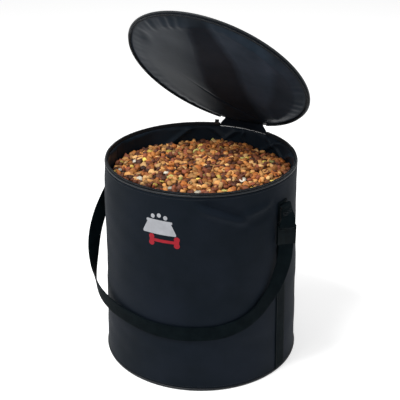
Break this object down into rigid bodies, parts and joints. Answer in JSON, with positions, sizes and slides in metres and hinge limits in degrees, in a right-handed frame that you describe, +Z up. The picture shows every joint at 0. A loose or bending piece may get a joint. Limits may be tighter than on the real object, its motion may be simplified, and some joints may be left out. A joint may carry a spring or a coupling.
{
  "type": "pet food storage bag",
  "caption": "Round dark fabric storage bag for dry pet food, zipped lid open on a fabric hinge, slack webbing strap across the front, filled with kibble.",
  "frame": {"origin": "centre of the underside of the base, on the ground", "axes": "+Z up, -Y towards the front, +Y towards the lid hinge, -X and +X towards the two ends of the strap"},
  "size_m": [0.4475, 0.4008, 0.7188],
  "materials": {
    "woven": "matte woven polyester",
    "webbing": "ribbed webbing",
    "piping": "satin binding over cord",
    "zip_tape": "fine twill tape",
    "zip_coil": "nylon coil",
    "lining": "shiny coated fabric",
    "zip_metal": "dark enamelled zinc",
    "buckle_plastic": "moulded, slightly glossy",
    "dry_food": "dry, slightly oily pellets"
  },
  "bodies": {
    "bag": {"base_panel": "woven", "base_piping": "piping", "side_wall": "woven", "right_seam_strip": "webbing", "left_seam_strip": "webbing", "inner_lining": "lining", "rim_piping": "piping", "rim_zip_tape": "zip_tape", "rim_zip_coil": "zip_coil", "hinge_strip": "woven", "right_anchor_loop": "webbing", "strap_buckle": "buckle_plastic", "shoulder_strap": "webbing", "kibble_heap": "dry_food"},
    "lid": {"lid_panel": "woven", "lid_piping": "piping", "lid_band": "woven", "lid_zip_tape": "zip_tape", "lid_zip_coil": "zip_coil", "lid_lining": "lining"},
    "slider": {"zip_slider": "zip_metal"},
    "pull": {"zip_pull": "zip_metal"}
  },
  "joints": [
    {"name": "lid_hinge", "type": "hinge", "parent": "bag", "child": "lid", "pos_m": [0, 0.19, 0.43], "axis": [1, 0, 0], "range_deg": [-200, 49]},
    {"name": "slider_run", "type": "hinge", "parent": "bag", "child": "slider", "pos_m": [0, 0, 0.422], "axis": [0, 0, 1], "range_deg": [0, 320.9]},
    {"name": "pull_swing", "type": "hinge", "parent": "slider", "child": "pull", "pos_m": [-0.06464, 0.18228, 0.42], "axis": [0.9425, 0.3342, 0], "range_deg": [0, 165]}
  ]
}
